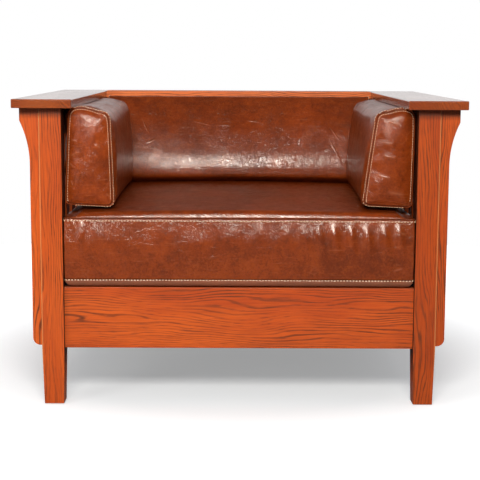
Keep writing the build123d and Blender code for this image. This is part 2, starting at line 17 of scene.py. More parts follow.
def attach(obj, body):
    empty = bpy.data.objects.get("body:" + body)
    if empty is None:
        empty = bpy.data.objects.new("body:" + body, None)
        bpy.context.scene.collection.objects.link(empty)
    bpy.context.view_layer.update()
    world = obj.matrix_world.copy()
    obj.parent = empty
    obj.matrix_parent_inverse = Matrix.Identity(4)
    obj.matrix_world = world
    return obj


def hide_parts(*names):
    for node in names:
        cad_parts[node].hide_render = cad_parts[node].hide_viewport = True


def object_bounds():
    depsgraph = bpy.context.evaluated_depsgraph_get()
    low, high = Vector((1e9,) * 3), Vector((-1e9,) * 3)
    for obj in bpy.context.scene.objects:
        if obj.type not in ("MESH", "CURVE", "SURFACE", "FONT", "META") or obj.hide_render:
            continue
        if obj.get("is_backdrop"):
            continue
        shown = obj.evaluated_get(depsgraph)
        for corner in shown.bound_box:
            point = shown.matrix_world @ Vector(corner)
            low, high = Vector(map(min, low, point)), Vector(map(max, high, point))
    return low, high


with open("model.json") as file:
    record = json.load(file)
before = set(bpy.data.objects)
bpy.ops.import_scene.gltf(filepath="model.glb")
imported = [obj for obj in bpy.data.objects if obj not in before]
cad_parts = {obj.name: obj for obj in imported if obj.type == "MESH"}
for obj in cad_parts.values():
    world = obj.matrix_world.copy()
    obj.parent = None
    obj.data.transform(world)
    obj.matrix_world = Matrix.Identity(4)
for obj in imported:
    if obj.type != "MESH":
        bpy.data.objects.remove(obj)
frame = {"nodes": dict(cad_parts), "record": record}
cad_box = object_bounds()
scene = bpy.context.scene
print("Nodes:", len(frame["nodes"]))

# %% [markdown]
# ## Camera
# The photograph's straight edges fix the camera: the arm boards, the posts and the rail all point
# to where it stood. It looks down a little, through a long lens. The picture is square.

# %% Camera
def show(thing):
    """Puts an object into the scene."""
    scene.collection.objects.link(thing)


eye = Vector((-0.01458, -3.34622, 0.8302))
yaw, pitch, roll = radians(0.3144), radians(8.3024), radians(0.2931)
ahead = Vector((sin(yaw) * cos(pitch), cos(yaw) * cos(pitch), -sin(pitch)))
level = Vector((cos(yaw), -sin(yaw), 0))
upright = level.cross(ahead)
rightward = cos(roll) * level + sin(roll) * upright
upward = -sin(roll) * level + cos(roll) * upright
camera_data = bpy.data.cameras.new("camera")
camera_data.lens = 92.7
camera_data.sensor_width = 36
camera = bpy.data.objects.new("camera", camera_data)
turned = Matrix((rightward, upward, -ahead)).transposed().to_4x4()
camera.matrix_world = Matrix.Translation(eye) @ turned
show(camera)
scene.camera = camera
scene.view_settings.view_transform = "Standard"
print("Camera at", tuple(round(value, 3) for value in eye))

# %% [markdown]
# ## Nodes, in short
# Every finish below is a small net of shader nodes. One helper adds a node, sets its options and
# either types a value into a socket or draws a link to it, so that a finish reads like a recipe.


# %% Node helper
def fill(tree, node, sockets):
    """Fills a node's sockets with values or links."""
    for name, value in sockets.items():
        if isinstance(value, bpy.types.NodeSocket):
            tree.links.new(value, node.inputs[name])
        else:
            node.inputs[name].default_value = value


def add_node(tree, kind, sockets, **options):
    """Adds a node, sets its options and fills its sockets."""
    made = tree.nodes.new("ShaderNode" + kind)
    for name, value in options.items():
        setattr(made, name, value)
    fill(tree, made, sockets)
    return made


def new_finish(name):
    """A fresh material: its node tree, its shader and the place on the piece."""
    finish = bpy.data.materials.new(name)
    finish.use_nodes = True
    tree = finish.node_tree
    place = add_node(tree, "TexCoord", {}).outputs["Object"]
    return finish, tree, tree.nodes["Principled BSDF"], place


def noise_at(tree, place, scale, detail=4.0, roughness=0.55, distortion=0.0):
    """The grey value of a cloudy pattern."""
    sockets = {"Vector": place, "Scale": scale, "Detail": detail}
    sockets.update({"Roughness": roughness, "Distortion": distortion})
    return add_node(tree, "TexNoise", sockets).outputs["Fac"]


wave_sockets = "Vector", "Scale", "Distortion", "Detail", "Detail Scale", "Detail Roughness"


def waves_at(tree, bands, *values):
    """The grey value of wavy bands; the values are those of the wave sockets, in order."""
    sockets = dict(zip(wave_sockets, values))
    return add_node(tree, "TexWave", sockets, bands_direction=bands).outputs["Fac"]


def parts(tree, place):
    """The X, Y and Z of a place."""
    return add_node(tree, "SeparateXYZ", {"Vector": place}).outputs


def between(tree, value, low, high, new_low=0.0, new_high=1.0):
    """Spreads a grey value from one range over another, and stops at its ends."""
    sockets = {"Value": value, "From Min": low, "From Max": high}
    sockets.update({"To Min": new_low, "To Max": new_high})
    return add_node(tree, "MapRange", sockets).outputs["Result"]


def mixed(tree, share, first, second, how="MIX"):
    """Two colours mixed by a share."""
    made = add_node(tree, "Mix", {0: share}, data_type="RGBA", blend_type=how)
    for index, value in ((6, first), (7, second)):
        linked = isinstance(value, bpy.types.NodeSocket)
        fill(tree, made, {index: value if linked else (*value, 1)})
    return made.outputs[2]


def math(tree, operation, first, second=0.0):
    """One sum on two grey values."""
    sockets = {0: first, 1: second}
    return add_node(tree, "Math", sockets, operation=operation).outputs[0]


def times(tree, first, second):
    """The product of two grey values."""
    return math(tree, "MULTIPLY", first, second)


def vectors(tree, operation, first, second, output="Vector"):
    """One sum on two vectors."""
    sockets = {0: first, 1: second}
    return add_node(tree, "VectorMath", sockets, operation=operation).outputs[output]


def mapped(tree, place, **changes):
    """A place that is moved, turned or stretched."""
    return add_node(tree, "Mapping", {"Vector": place, **changes}).outputs["Vector"]


def bumped(tree, shader, height, distance, strength, onto=None):
    """Lets a grey value raise the surface by up to a distance in metres."""
    sockets = {"Height": height, "Distance": distance, "Strength": strength}
    if onto is not None:
        sockets["Normal"] = onto
    normal = add_node(tree, "Bump", sockets).outputs["Normal"]
    fill(tree, shader, {"Normal": normal})
    return normal


def set_finish(node, finish):
    """Gives a CAD node its finish."""
    node.data.materials.clear()
    node.data.materials.append(finish)


# %% [markdown]
# ## Studio
# The photograph is taken in front of a white backdrop, in a room that is dark behind the camera. So
# the world is white to the camera, and in gloss and metal it is white towards the backdrop only:
# that keeps the leather and the oak deep in colour, while the arms' tops shine pale. The floor is
# pale near the chair, where it keeps the shadow, and turns white farther out, so that it has no
# edge against the backdrop. In reflections it is darker, or it would lay a grey veil on the wood.

# %% World and floor
world = bpy.data.worlds.new("studio")
scene.world = world
world.use_nodes = True
sky = world.node_tree
rays = add_node(sky, "LightPath", {}).outputs
direction = add_node(sky, "TexCoord", {}).outputs["Generated"]
direction = parts(sky, direction)
mirrored = math(sky, "ADD", rays["Is Glossy Ray"], rays["Is Transmission Ray"])
mirrored = math(sky, "MINIMUM", mirrored, 1.0)
to_the_back = between(sky, direction["Y"], -0.1, 0.3)
not_too_high = between(sky, direction["Z"], 0.46, 0.16)
mirror = mixed(sky, times(sky, to_the_back, not_too_high), (0.05, 0.05, 0.05), (1, 1, 1))
light = mixed(sky, mirrored, (0.29, 0.29, 0.295), mirror)
light = mixed(sky, rays["Is Camera Ray"], light, (1, 1, 1))
sky.links.new(light, sky.nodes["Background"].inputs["Color"])

floor_finish, tree, shader, place = new_finish("studio_floor")
rays = add_node(tree, "LightPath", {}).outputs
pale = mixed(tree, rays["Is Glossy Ray"], (0.68, 0.71, 0.75), (0.22, 0.22, 0.22))
fill(tree, shader, {"Base Color": pale, "Roughness": 0.9, "Emission Color": (1, 1, 1, 1)})
far = add_node(tree, "VectorMath", {0: place}, operation="LENGTH").outputs["Value"]
glow = between(tree, far, 0.5, 1.25, 0.31, 1.0)
fill(tree, shader, {"Emission Strength": times(tree, rays["Is Camera Ray"], glow)})
floor_radius, floor_drop = 2.4, 0.0005
floor_mesh = bmesh.new()
bmesh.ops.create_circle(floor_mesh, cap_ends=True, segments=96, radius=floor_radius)
floor_data = bpy.data.meshes.new("floor")
floor_mesh.to_mesh(floor_data)
floor_mesh.free()
floor = bpy.data.objects.new("floor", floor_data)
floor.location.z = -floor_drop
floor.data.materials.append(floor_finish)
show(floor)
floor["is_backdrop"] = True
print("Floor of", 2 * floor_radius, "m across")

# %% [markdown]
# ## Lamps
# The main softbox stands high behind the camera. Its mirror image makes the bright band on the back
# cushion and the bright line along the seat's front edge. A wider, thinner one, which only gloss
# shows, draws both of them out to the sides. A softbox on the left makes that side a little
# lighter, and a weak one overhead fills in. All of them are slightly warm.

# %% Softboxes
warm_light, warm_shine = (1.0, 0.955, 0.89), (1.0, 0.93, 0.76)


def softbox(name, place, aim, width, height, power, mirrored=True, lights=True):
    """A rectangular lamp that faces a point; without lights, it shows in gloss only."""
    lamp = bpy.data.lights.new(name, "AREA")
    lamp.shape = "RECTANGLE"
    lamp.size, lamp.size_y, lamp.energy = width, height, power
    lamp.color = warm_light if lights else warm_shine
    made = bpy.data.objects.new(name, lamp)
    way = Vector(aim) - Vector(place)
    turn = way.to_track_quat("-Z", "Y").to_matrix().to_4x4()
    made.matrix_world = Matrix.Translation(place) @ turn
    made.visible_glossy, made.visible_diffuse = mirrored, lights
    show(made)


chair_middle = (0, 0, 0.45)
softbox("front_softbox", (-0.12, -3.2, 1.98), chair_middle, 1.4, 0.72, 108)
softbox("front_shine", (0.0, -3.22, 1.98), chair_middle, 2.1, 0.42, 92, lights=False)
softbox("left_softbox", (-2.6, -2.7, 1.3), chair_middle, 1.2, 1.2, 27)
softbox("top_softbox", (0.0, 0.3, 3.3), (0, 0, 0.4), 2.6, 2.2, 12, mirrored=False)
print("Lamps:", sorted(lamp.name for lamp in bpy.data.lights))

# %% [markdown]
# ## Oak
# The frame is oak, stained orange-brown and lacquered to a satin gloss. A picture of wood would
# have to be wrapped round each board, but a pattern that is stretched along the grain and then cut
# by each board's surface behaves like real timber, end grain included. Broad clouds change the
# stain, distorted bands are the growth rings, and short fine dashes are the open pores that hold
# dark stain. Each board gets its own part of the pattern, so that no two are alike.


# %% Oak finish
# The last three tones paint light on the front posts: edge highlight, gap shade, arm shadow.
oak_colours = {
    "light": (0.53, 0.088, 0.0095), "deep": (0.4, 0.052, 0.005), "dark": (0.23, 0.034, 0.0055),
    "ring": (0.11, 0.024, 0.006), "pore": (0.095, 0.022, 0.006), "painted edge highlight": (0.78, 0.33, 0.11),
    "gap": (0.01, 0.004, 0.003), "painted arm shadow": (0.05, 0.012, 0.004),
}


def front_post_painted_light(tree, place, colour):
    """Painted light on a front post: an edge highlight, gap shade and a shadow under the arm."""
    spot = parts(tree, place)
    across = math(tree, "ABSOLUTE", spot["X"])
    # A painted highlight along the post's outer edge.
    edge = times(tree, between(tree, across, 0.4708, 0.473), between(tree, across, 0.4755, 0.475))
    colour = mixed(tree, times(tree, edge, 0.45), colour, oak_colours["painted edge highlight"])
    # Painted shade on the post's inner side, in the gap beside the arm cushion.
    gap = between(tree, across, 0.4222, 0.4207, 0.0, 0.9)
    colour = mixed(tree, gap, colour, oak_colours["gap"])
    # A painted shadow on the post's top, under the arm board.
    painted_arm_shadow = between(tree, spot["Z"], 0.69, 0.704, 0.0, 0.82)
    return mixed(tree, painted_arm_shadow, colour, oak_colours["painted arm shadow"])


def oak_finish(name, along, number, stain_and_side_light=(1, 1, 1), satin=0.34, coat=0.15):
    """Stained oak whose grain runs along one axis; number picks its part of the pattern."""
    finish, tree, shader, place = new_finish(name)
    board = mapped(tree, place, Location=(number * 0.73, number * 1.31, number * 0.57))

    def drawn_out(share):
        """The board's place, with the pattern drawn out along the grain."""
        scale = [share if axis == along else 1.0 for axis in "XYZ"]
        return mapped(tree, board, Scale=scale)

    rings_place, lines_place, straight_place = drawn_out(0.2), drawn_out(0.05), drawn_out(0.012)
    clouds = noise_at(tree, rings_place, 10.0, 4.0, 0.6)
    sockets = {"Vector": rings_place, "Scale": 11.0, "Detail": 2.5}
    sway = add_node(tree, "TexNoise", sockets).outputs["Color"]
    swayed = mixed(tree, 0.055, straight_place, sway)
    rings = waves_at(tree, "DIAGONAL", swayed, 92.0, 2.6, 2.0, 1.2, 0.6)
    fade = between(tree, noise_at(tree, rings_place, 26.0, 4.0, 0.65), 0.38, 0.62, 0.15, 1.0)
    lines = times(tree, between(tree, rings, 0.4, 0.02), fade)
    streaks = between(tree, noise_at(tree, lines_place, 230.0, 4.0, 0.65), 0.4, 0.68)
    pores = between(tree, noise_at(tree, lines_place, 640.0, 2.0, 0.5), 0.56, 0.68)
    pores = times(tree, pores, between(tree, rings, 0.75, 0.25, 0.25, 1.0))

    light, deep, dark = (
        [share * part for share, part in zip(oak_colours[tone], stain_and_side_light)]
        for tone in ("light", "deep", "dark")
    )
    colour = mixed(tree, between(tree, clouds, 0.36, 0.64), light, deep)
    ring, pore = oak_colours["ring"], oak_colours["pore"]
    for pattern, share, tone in ((streaks, 0.42, dark), (lines, 0.92, ring), (pores, 0.62, pore)):
        colour = mixed(tree, times(tree, pattern, share), colour, tone)
    # The front posts and corbels get the painted highlight, painted shade and painted shadow.
    if name.startswith("oak_front_") and not name.endswith("rail"):
        colour = front_post_painted_light(tree, place, colour)
    dull = math(tree, "ADD", clouds, times(tree, lines, 0.4))
    rough = between(tree, dull, 0.3, 1.1, satin, 1.5 * satin)
    fill(tree, shader, {"Base Color": colour, "Roughness": rough, "Specular IOR Level": 0.15})
    fill(tree, shader, {"Coat Weight": coat, "Coat Roughness": 0.2})
    height = math(tree, "ADD", times(tree, pores, -0.7), times(tree, lines, -0.5))
    bumped(tree, shader, height, 0.00025, 0.6)
    return finish


# %% [markdown]
# Each board's grain runs along its length. The arm boards are darker and glossier than the rest,
# the cap is paler, and the right front post and corbel are darker and the left front corbel
# lighter: painted shade and painted light from the left side.

# %% Give each board its oak
slot_of = {part["node"]: part["material_slot"] for part in frame["record"]["subparts"]}
grain_of = {name: "X" for name in ("front_rail", "rear_lower_rail", "rear_upper_rail", "back_cap")}
side_rails = ("left_lower", "right_lower", "left_upper", "right_upper")
for name in slot_of:
    if name.endswith("arm_board") or name.startswith(side_rails):
        grain_of[name] = "Y"
oak_boards = sorted(name for name, slot in slot_of.items() if slot == "oak")
# The front posts' and corbels' entries paint side light: the right ones darker as painted shade.
stains_and_painted_side_light = {
    "arm_board": (0.56, 0.7, 1.2), "back_cap": (1.7, 2.6, 5.2),
    "front_right_post": (0.8, 0.74, 0.65), "front_right_corbel": (0.92, 0.88, 0.8),
    "front_left_corbel": (1.1, 1.12, 1.1),
}
for number, name in enumerate(oak_boards):
    stain_and_side_light = next((value for part, value in stains_and_painted_side_light.items() if part in name), (1, 1, 1))
    satin, coat = (0.17, 0.62) if name.endswith("arm_board") else (0.34, 0.15)
    finish = oak_finish(f"oak_{name}", grain_of.get(name, "Z"), number + 1, stain_and_side_light, satin, coat)
    set_finish(frame["nodes"][name], finish)
print("Oak boards:", len(oak_boards))

# %% [markdown]
# ## What is under the seat
# These pieces show only from below: plain pine for the cleats, blocks and pins, bright zinc on
# screws and clips, bare spring wire, a grey felt pad, a black cloth and scuffed nylon glides.


# %% Finishes of the hidden pieces
def plain_finish(name, noise, ends, colours, rough, bump, stretch=(1, 1, 1), metal=0.0):
    """Two colours mixed by one pattern, which may roughen the surface too, and raises it."""
    finish, tree, shader, place = new_finish(name)
    pattern = noise_at(tree, mapped(tree, place, Scale=stretch), *noise)
    colour = mixed(tree, between(tree, pattern, *ends), *colours)
    if not isinstance(rough, float):
        rough = between(tree, pattern, 0.3, 0.7, *rough)
    fill(tree, shader, {"Base Color": colour, "Roughness": rough, "Metallic": metal})
    bumped(tree, shader, pattern, *bump)
    return finish


def metal_finish(name, colour, roughness, scale):
    """A plain metal with a cloudy, slightly worn surface."""
    colours = (colour, [share * 0.62 for share in colour])
    rough = (roughness, roughness + 0.22)
    return plain_finish(
        name, (scale, 5.0, 0.6), (0.4, 0.75), colours, rough, (0.00005, 0.5), metal=1.0
    )


def cloth_finish(name, colour, scale, roughness=0.95):
    """A pressed cloth of short fibres."""
    finish, tree, shader, place = new_finish(name)
    fibres = noise_at(tree, place, scale, 6.0, 0.75, 1.5)
    patches = noise_at(tree, place, scale / 12, 3.0)
    dark = [share * 0.45 for share in colour]
    base = mixed(tree, between(tree, fibres, 0.35, 0.65), colour, dark)
    base = mixed(tree, between(tree, patches, 0.35, 0.7, 0.0, 0.35), base, dark)
    fill(tree, shader, {"Base Color": base, "Roughness": roughness})
    bumped(tree, shader, fibres, 0.0004, 0.7)
    return finish


hidden_finishes = {
    "pale_wood": plain_finish(
        "pale_wood", (160.0, 4.0, 0.6, 0.5), (0.35, 0.7),
        ((0.62, 0.42, 0.22), (0.42, 0.24, 0.1)), 0.7, (0.0002, 0.5), stretch=(0.15, 0.15, 1.0),
    ),
    "spring_steel": metal_finish("spring_steel", (0.3, 0.29, 0.28), 0.32, 400.0),
    "zinc_plate": metal_finish("zinc_plate", (0.66, 0.68, 0.7), 0.24, 900.0),
    "felt": cloth_finish("felt", (0.2, 0.19, 0.18), 900.0),
    "black_cloth": cloth_finish("black_cloth", (0.022, 0.022, 0.024), 1500.0, 0.85),
    "glide_nylon": plain_finish(
        "glide_nylon", (700.0, 5.0, 0.7, 1.0), (0.45, 0.7),
        ((0.16, 0.1, 0.06), (0.3, 0.22, 0.16)), (0.35, 0.6), (0.00008, 0.5),
    ),
    "foam": cloth_finish("foam", (0.75, 0.62, 0.36), 1200.0),
}
for name, slot in slot_of.items():
    if slot in hidden_finishes:
        set_finish(frame["nodes"][name], hidden_finishes[slot])
print("Hidden finishes:", sorted(hidden_finishes))

# %% [markdown]
# ## Leather
# The covers are waxed russet leather. Its colour is uneven: clouds of darker and lighter dye, pale
# scratches that run slantwise, and a fine net of cracks where it has been bent. Under the gloss
# there is a pebbled grain. The wax makes a clear coat, which mirrors the softboxes. It is broken
# where the leather is cracked or specked, and there is none in the seams. Near a seam the leather
# is darker, and in the narrow gaps it is darkened as painted shade; the piece tells the finish
# where with an attribute. A pale line along each crease is a painted highlight.


# %% Leather patterns
leather_colours = {
    "light": (0.24, 0.035, 0.003), "deep": (0.15, 0.021, 0.002),
    "dark mottle": (0.088, 0.014, 0.002), "pale mottle": (0.31, 0.056, 0.006),
    "dark speck": (0.08, 0.014, 0.002), "pale speck": (0.31, 0.062, 0.008),
    "wrinkle": (0.42, 0.13, 0.045), "painted crease highlight": (0.45, 0.15, 0.065),
    "scratch": (0.4, 0.13, 0.05), "crack": (0.055, 0.012, 0.003),
    "seam": (0.045, 0.009, 0.002), "painted floor reflection": (0.25, 0.11, 0.065),
}


def crease_line(tree, place, start, end, width):
    """A soft ridge along a line that is seen from the front; start and end are x and z."""
    way = Vector((end[0] - start[0], 0, end[1] - start[1]))
    flat = vectors(tree, "MULTIPLY", place, (1, 0, 1))
    off = vectors(tree, "SUBTRACT", flat, (start[0], 0, start[1]))
    share = vectors(tree, "DOT_PRODUCT", off, tuple(way / way.length_squared), "Value")
    share = between(tree, share, 0.0, 1.0)
    sockets = {0: tuple(way), "Scale": share}
    nearest = add_node(tree, "VectorMath", sockets, operation="SCALE").outputs["Vector"]
    gap = vectors(tree, "DISTANCE", off, nearest, "Value")
    taper = times(tree, between(tree, share, 0.0, 0.3), between(tree, share, 1.0, 0.8))
    soft = between(tree, gap, width, 0.0)
    return times(tree, times(tree, soft, soft), taper)


def dyed_hide(tree, hide, mottle, specks):
    """The dye: broad clouds, then mottle, then fine specks, both darker and paler."""
    clouds = noise_at(tree, hide, 7.0, 4.0, 0.62, 0.6)
    light, deep = leather_colours["light"], leather_colours["deep"]
    colour = mixed(tree, between(tree, clouds, 0.36, 0.64), light, deep)
    for pattern, low, high, most, tone in (
        (mottle, 0.5, 0.68, 0.62, "dark mottle"), (mottle, 0.48, 0.3, 0.5, "pale mottle"),
        (specks, 0.5, 0.72, 0.55, "dark speck"), (specks, 0.46, 0.28, 0.4, "pale speck"),
    ):
        share = between(tree, pattern, low, high, 0.0, most)
        colour = mixed(tree, share, colour, leather_colours[tone])
    return colour


def wrinkle_lines(tree, hide):
    """Long thin wrinkles, in patches."""
    slanted = mapped(tree, hide, Rotation=(0.0, 0.45, 0.0), Scale=(0.55, 1.0, 1.0))
    bends = waves_at(tree, "Z", slanted, 9.0, 15.0, 3.0, 1.6, 0.55)
    patches = between(tree, noise_at(tree, hide, 12.0, 3.0), 0.46, 0.62)
    return times(tree, between(tree, bends, 0.955, 1.0), patches)


def scratch_lines(tree, hide):
    """Thin scratches at three slants, where the hide is worn."""
    scratches = 0.0
    for turn, scale in ((0.5, 1.0), (-0.38, 1.3), (1.15, 0.9)):
        stretch = (4.5 * scale, 4.5, 95.0 * scale)
        slant = mapped(tree, hide, Rotation=(0.12, turn, 0.1), Scale=stretch)
        lines = between(tree, noise_at(tree, slant, 2.6, 4.0, 0.6), 0.64, 0.72)
        scratches = math(tree, "MAXIMUM", lines, scratches)
    worn = between(tree, noise_at(tree, hide, 11.0, 2.0), 0.4, 0.62)
    return times(tree, scratches, worn)


def crack_net(tree, hide):
    """A coarse and a fine net of cracks, stronger in patches."""
    sway = add_node(tree, "TexNoise", {"Vector": hide, "Scale": 34.0}).outputs["Color"]
    bent = mixed(tree, 0.16, hide, sway)
    cracks = 0.0
    for scale, wide in ((62.0, 0.065), (130.0, 0.105)):
        sockets = {"Vector": bent, "Scale": scale}
        cells = add_node(tree, "TexVoronoi", sockets, feature="DISTANCE_TO_EDGE")
        net = between(tree, cells.outputs["Distance"], wide, 0.0)
        cracks = math(tree, "MAXIMUM", net, cracks)
    patches = between(tree, noise_at(tree, hide, 17.0, 3.0), 0.34, 0.6, 0.4, 1.0)
    return times(tree, cracks, patches)


# %% [markdown]
# The patterns are laid over each other like coats, and the bumps are chained in the same way.


# %% Leather finish
def leather_finish(name, number, crackle, creases, dye_and_side_light, wax=0.62, painted_reflection_below=0.0):
    """Waxed russet leather; number picks its part of the pattern, and low down a painted floor
    reflection.
    """
    finish, tree, shader, place = new_finish(name)
    hide = mapped(tree, place, Location=(number * 0.61, number * 0.37, number * 0.83))
    mottle = noise_at(tree, hide, 42.0, 7.0, 0.72, 0.5)
    specks = noise_at(tree, hide, 190.0, 5.0, 0.7)
    wrinkles = wrinkle_lines(tree, hide)
    cracks = crack_net(tree, hide)
    # The seam attribute also holds painted shade in the narrow gaps.
    seam = add_node(tree, "Attribute", {}, attribute_name="seam").outputs["Fac"]
    ridges = 0.0
    for start, end, width in creases:
        ridges = math(tree, "MAXIMUM", crease_line(tree, place, start, end, width), ridges)

    colour = dyed_hide(tree, hide, mottle, specks)
    scratches = scratch_lines(tree, hide)
    # The crease colour is a painted highlight along the ridges; the seam colour also paints gap
    # shade.
    for pattern, share, tone in (
        (wrinkles, 0.1, "wrinkle"), (ridges, 0.3, "painted crease highlight"), (scratches, 0.4, "scratch"),
        (cracks, 0.34 * crackle, "crack"), (seam, 0.75, "seam"),
    ):
        colour = mixed(tree, times(tree, pattern, share), colour, leather_colours[tone])
    # A painted reflection of the floor, below the given height.
    if painted_reflection_below:
        painted_reflection = between(tree, parts(tree, place)["Z"], painted_reflection_below, painted_reflection_below - 0.003, 0.0, 0.55)
        colour = mixed(tree, painted_reflection, colour, leather_colours["painted floor reflection"])
    # The dye factor scales the whole colour; on the arm cushions it also paints light from the left.
    colour = mixed(tree, 1.0, colour, (dye_and_side_light, dye_and_side_light, dye_and_side_light), "MULTIPLY")

    dull = math(tree, "ADD", mottle, times(tree, cracks, 0.6))
    rough = between(tree, dull, 0.3, 1.0, 0.3, 0.5)
    fill(tree, shader, {"Base Color": colour, "Roughness": rough, "Specular IOR Level": 0.07})
    waxed = between(tree, seam, 0.2, 0.9, wax, 0.0)
    waxed = times(tree, between(tree, specks, 0.42, 0.61, 1.0, 0.58), waxed)
    unbroken = between(tree, cracks, 0.0, 1.0, 1.0, max(1 - 0.5 * crackle, 0.1))
    fill(tree, shader, {"Coat Weight": times(tree, waxed, unbroken), "Coat Roughness": 0.15})

    sockets = {"Vector": hide, "Scale": 620.0}
    pebbles = add_node(tree, "TexVoronoi", sockets, feature="SMOOTH_F1").outputs["Distance"]
    folds = noise_at(tree, hide, 52.0, 5.0, 0.62, 0.8)
    grain = None
    for height, distance, strength in (
        (pebbles, 0.0001, 0.45), (noise_at(tree, hide, 270.0, 3.0, 0.6), 0.0006, 0.3),
        (folds, 0.0012, 0.08 * crackle), (times(tree, cracks, -1.0), 0.0004, 0.36 * crackle),
        (wrinkles, 0.0006, 0.35), (ridges, 0.0008, 1.0),
    ):
        grain = bumped(tree, shader, height, distance, strength, grain)
    fill(tree, shader, {"Coat Normal": grain})
    return finish


# The cream waxed thread is laid in two twisted strands.
thread = plain_finish(
    "thread", (1400.0, 3.0, 0.6), (0.35, 0.65), ((0.86, 0.62, 0.4), (0.62, 0.4, 0.23)),
    0.6, (0.0002, 0.6),
)

# %% [markdown]
# ## A cushion's blank
# A cushion starts as a box of panels. A cube is divided along one axis after the other, with the
# loops closest where an edge will be round or a seam will be. Then each vertex near an edge is
# drawn onto the round. The net follows the panels, so a seam is a clean line of edges.

# %% Blank of panels
edge_steps = (0.0, 0.199, 0.414, 0.668)
seam_steps = (-0.008, -0.0045, -0.002, 0, 0.002, 0.0045, 0.008)
seam_clearance = 0.0095


def clamped(value, low=0.0, high=1.0):
    """A value, kept between two others."""
    return min(max(value, low), high)


def ease(value, low, high):
    """0 below low, 1 above high, and an even turn between."""
    share = clamped((value - low) / (high - low))
    return share * share * (3 - 2 * share)


def loop_places(low, high, low_round, high_round, cell, seams=()):
    """Where the slices along one axis go."""
    places = [low + low_round * (1 - step) for step in edge_steps]
    places += [high - high_round * (1 - step) for step in edge_steps]
    start, end = low + low_round, high - high_round
    count = max(1, ceil((end - start) / cell))
    places += [start + (end - start) * step / count for step in range(1, count)]
    for seam in seams:
        places = [place for place in places if abs(place - seam) > seam_clearance]
        places += [seam + offset for offset in seam_steps]
    return sorted(place for place in places if low < place < high)


def panel_blank(low, high, rounds, cell, held, seams=((), (), ())):
    """A closed box with rounded edges; rounds are the low and the high radius on each axis.

    A rule says how much each vertex is held later, when the blank is filled: 0 is free, 1 stays.
    """
    low, high = Vector(low), Vector(high)
    mesh = bmesh.new()
    bmesh.ops.create_cube(mesh, size=1, matrix=Matrix.Translation((0.5, 0.5, 0.5)))
    for axis in range(3):
        places = loop_places(low[axis], high[axis], *rounds[axis], cell, seams[axis])
        places = [low[axis], *places, high[axis]]
        ends = [(edge, edge.verts[0].co[axis], edge.verts[1].co[axis]) for edge in mesh.edges]
        edges = [edge for edge, start, end in ends if abs(start - end) > 0.5]
        bmesh.ops.subdivide_edges(mesh, edges=edges, cuts=len(places) - 2, use_grid_fill=True)
        for vert in mesh.verts:
            vert.co[axis] = places[round(vert.co[axis] * (len(places) - 1))]
    for vert in mesh.verts:
        inner = Vector([
            clamped(vert.co[axis], low[axis] + rounds[axis][0], high[axis] - rounds[axis][1])
            for axis in range(3)
        ])
        off = vert.co - inner
        radii = [rounds[axis][0] if off[axis] < 0 else rounds[axis][1] for axis in range(3)]
        way = Vector([off[axis] / radii[axis] for axis in range(3)]).normalized()
        vert.co = inner + Vector([way[axis] * radii[axis] for axis in range(3)])
    layer = mesh.verts.layers.float.new("held")
    for vert in mesh.verts:
        vert[layer] = held(vert.co)
    return mesh


def place_in_view(name, mesh, finish):
    """Turns a finished blank into a piece with a smooth surface."""
    data = bpy.data.meshes.new(name)
    mesh.to_mesh(data)
    mesh.free()
    data.materials.append(finish)
    data.shade_smooth()
    piece = bpy.data.objects.new(name, data)
    show(piece)
    return piece


# %% [markdown]
# ## Filling a cushion
# Foam pushes the cover out between its seams. Blender's cloth can do that: the cover is blown up by
# a little pressure while its seams are held, and it is cut a trifle too large, so that it puckers
# at the seams as sewn leather does. How far a point may move is capped, which keeps the cushion in
# its place between the arms.


# %% Filling helpers
cloth_settings = {
    "quality": 4, "mass": 0.4, "tension_stiffness": 20, "compression_stiffness": 20,
    "shear_stiffness": 8, "bending_stiffness": 1.0, "shrink_min": -0.01, "use_pressure": True,
    "uniform_pressure_force": 4.0, "vertex_group_mass": "held",
}
puff_frames = 20


def puff(piece, cap):
    """Blows a cover up while its held vertices stay still; no vertex moves farther than the cap."""
    held = piece.data.attributes["held"]
    holds = [item.value for item in held.data]
    indices = [index for index, value in enumerate(holds) if value > 0.99]
    piece.data.attributes.remove(held)
    rest = [vert.co.copy() for vert in piece.data.vertices]
    group = piece.vertex_groups.new(name="held")
    group.add(indices, 1.0, "REPLACE")
    cloth = piece.modifiers.new("puff", "CLOTH")
    for setting, value in cloth_settings.items():
        setattr(cloth.settings, setting, value)
    cloth.settings.effector_weights.gravity = 0
    cloth.collision_settings.use_collision = False
    for step in range(1, puff_frames + 1):
        scene.frame_set(step)
    shown = piece.evaluated_get(bpy.context.evaluated_depsgraph_get()).to_mesh()
    moved = [vert.co.copy() for vert in shown.vertices]
    piece.modifiers.remove(cloth)
    piece.vertex_groups.remove(group)
    scene.frame_set(1)
    farthest = 0.0
    for vert, start, end, value in zip(piece.data.vertices, rest, moved, holds):
        way = end - start
        if way.length > cap:
            way *= cap / way.length
        way *= 1 - value
        farthest = max(farthest, way.length)
        vert.co = start + way
    print(piece.name, "puffed by up to", round(farthest * 1000, 1), "mm")


def divide(piece):
    """Divides each face once more with a smooth surface, for good."""
    modifier = piece.modifiers.new("smooth", "SUBSURF")
    modifier.levels = modifier.render_levels = 1
    shown = piece.evaluated_get(bpy.context.evaluated_depsgraph_get())
    data = bpy.data.meshes.new_from_object(shown)
    piece.modifiers.remove(modifier)
    piece.data = data


def filled_cover(name, mesh, leather, cap):
    """A blank in its leather, filled and smooth."""
    piece = place_in_view(name, mesh, leather)
    puff(piece, cap)
    divide(piece)
    print(name, "faces:", len(piece.data.polygons))
    return piece


# %% [markdown]
# ## Seams and stitches
# A seam is the line in which a plane cuts the filled cushion. The leather is pressed in along it.
# Stitches are laid at even steps a few millimetres beside it. They follow the cushion as it was
# before the seam was pressed, which keeps the rows even.


